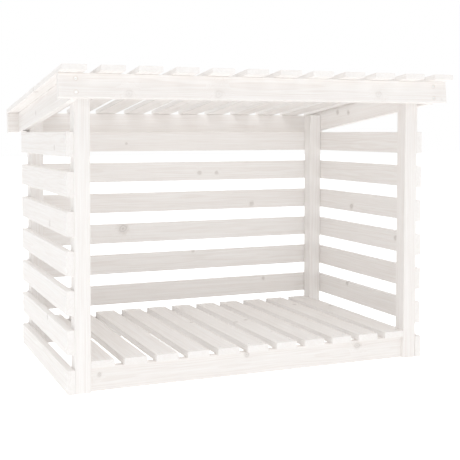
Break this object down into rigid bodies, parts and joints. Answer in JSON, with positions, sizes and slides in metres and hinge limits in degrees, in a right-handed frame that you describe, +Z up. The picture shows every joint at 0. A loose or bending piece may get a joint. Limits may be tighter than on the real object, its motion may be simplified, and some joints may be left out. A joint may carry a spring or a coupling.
{
  "type": "log store",
  "caption": "Open-fronted slatted log store: four posts, slatted floor, sides and back under a sloping roof of boards.",
  "frame": {"origin": "on the ground, at the middle of the overall width and depth", "axes": "+X along the front towards the right-hand side as seen from the front, +Y from the open front towards the back, +Z up"},
  "size_m": [1.08, 0.73, 0.79],
  "materials": {
    "white_washed_pine": "planed pine with a thin matt white paint wash that lets the grain and knots show",
    "zinc_plated_steel": "bright zinc-plated countersunk screw heads, in the visual model only"
  },
  "bodies": {
    "root": {"back_fascia": "white_washed_pine", "back_floor_beam": "white_washed_pine", "back_left_post": "white_washed_pine", "back_right_post": "white_washed_pine", "back_slats": "white_washed_pine", "floor_slat_01": "white_washed_pine", "floor_slat_02": "white_washed_pine", "floor_slat_03": "white_washed_pine", "floor_slat_04": "white_washed_pine", "floor_slat_05": "white_washed_pine", "floor_slat_06": "white_washed_pine", "floor_slat_07": "white_washed_pine", "floor_slat_08": "white_washed_pine", "floor_slat_09": "white_washed_pine", "floor_slat_10": "white_washed_pine", "floor_slat_11": "white_washed_pine", "front_fascia": "white_washed_pine", "front_floor_beam": "white_washed_pine", "front_left_post": "white_washed_pine", "front_right_post": "white_washed_pine", "left_rafter": "white_washed_pine", "left_side_slats": "white_washed_pine", "right_rafter": "white_washed_pine", "right_side_slats": "white_washed_pine", "roof_slat_01": "white_washed_pine", "roof_slat_02": "white_washed_pine", "roof_slat_03": "white_washed_pine", "roof_slat_04": "white_washed_pine", "roof_slat_05": "white_washed_pine", "roof_slat_06": "white_washed_pine", "roof_slat_07": "white_washed_pine", "roof_slat_08": "white_washed_pine", "roof_slat_09": "white_washed_pine", "roof_slat_10": "white_washed_pine", "roof_slat_11": "white_washed_pine", "roof_slat_12": "white_washed_pine"}
  },
  "joints": []
}
